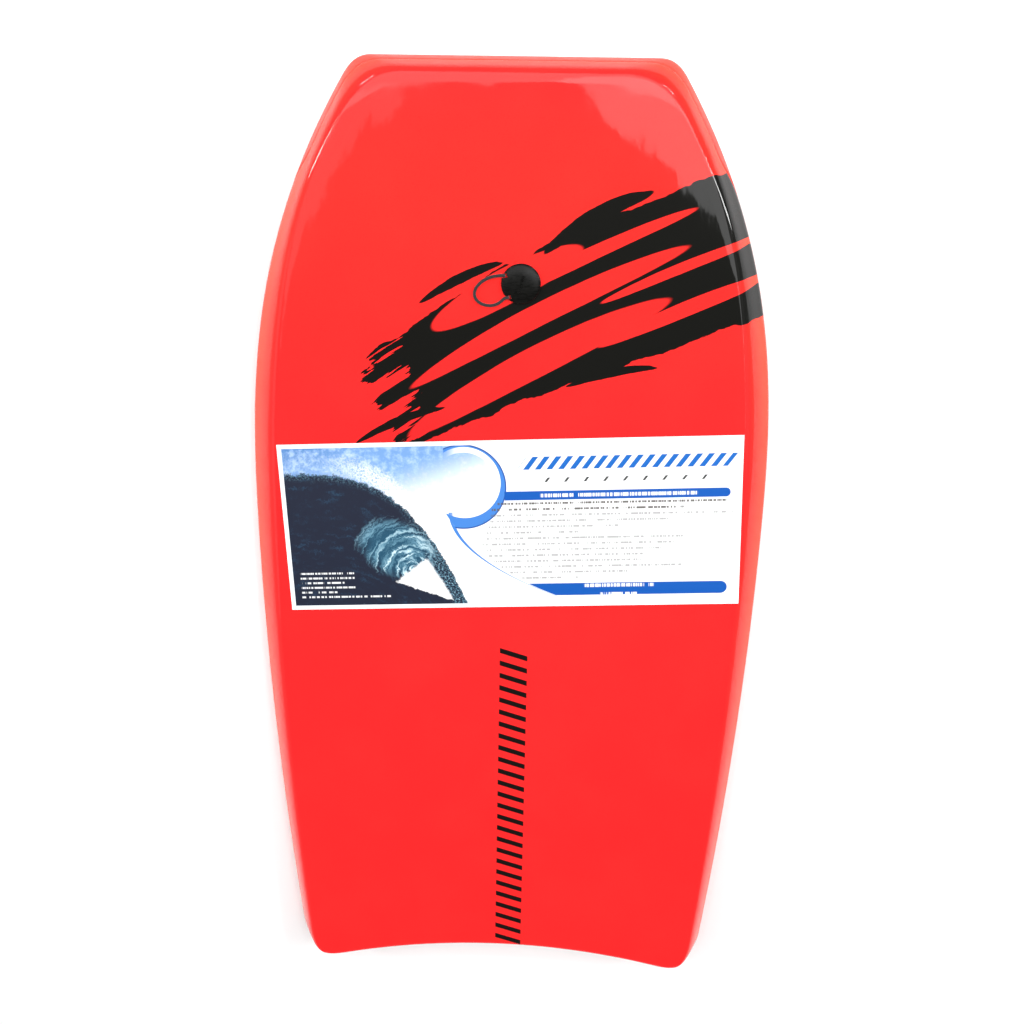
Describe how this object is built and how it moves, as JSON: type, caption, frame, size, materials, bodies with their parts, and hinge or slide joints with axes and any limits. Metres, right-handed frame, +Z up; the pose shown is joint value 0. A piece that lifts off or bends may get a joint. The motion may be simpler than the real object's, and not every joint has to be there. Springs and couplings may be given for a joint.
{
  "type": "bodyboard",
  "caption": "Foam bodyboard with bevelled rails, squared nose, shallow crescent tail, nose rocker and a screwed leash plug with a cord loop.",
  "frame": {"origin": "under the middle of the board's outline, on the surface that the flat of the slick rests on", "axes": "+Y towards the nose, +X to the rider's right, +Z up out of the deck"},
  "size_m": [0.54, 0.9993, 0.0794],
  "materials": {
    "core_foam": "expanded bead foam, matt off-white",
    "deck_foam": "red closed-cell foam skin under clear film, glossy, with a black printed brush graphic",
    "rail_foam": "orange-red closed-cell foam strip, satin",
    "slick": "smooth off-white polyethylene film, semi-gloss",
    "plug_plastic": "black moulded plastic, fine texture",
    "seal_rubber": "black rubber, matt",
    "cord": "black braided polyester cord",
    "stringer": "dark resin-bonded fibre tube, satin",
    "label_card": "coated white card with a printed wave picture and blue bars"
  },
  "bodies": {
    "board": {"foam_core": "core_foam", "deck_skin": "deck_foam", "slick_skin": "slick", "right_rail": "rail_foam", "left_rail": "rail_foam", "nose_bumper": "rail_foam", "tail_bumper": "rail_foam", "stringer_tube": "stringer", "stringer_front_plug": "plug_plastic", "stringer_rear_plug": "plug_plastic", "leash_plug_cap": "plug_plastic", "stem_seal": "seal_rubber", "leash_loop_anchor": "cord", "care_label": "label_card"},
    "washer": {"base_washer": "seal_rubber"},
    "plug_base": {"leash_plug_base": "plug_plastic"},
    "loop": {"leash_loop": "cord"}
  },
  "joints": [
    {"name": "loop_swing", "type": "hinge", "parent": "board", "child": "loop", "pos_m": [-0.00325, 0.29427, 0.06409], "axis": [-0.1908, 0.9777, 0.088], "range_deg": [0, 100]},
    {"name": "base_travel", "type": "slide", "parent": "board", "child": "washer", "axis": [0, 0.0896, -0.996], "range_m": [0, 0.005]},
    {"name": "base_turn", "type": "hinge", "parent": "washer", "child": "plug_base", "pos_m": [0.01, 0.30184, 0.00875], "axis": [0, 0.0896, -0.996], "range_deg": [0, 720]}
  ],
  "couplings": [
    {"joint": "base_turn", "follows": "base_travel", "rad_per_m": 2513.3}
  ]
}
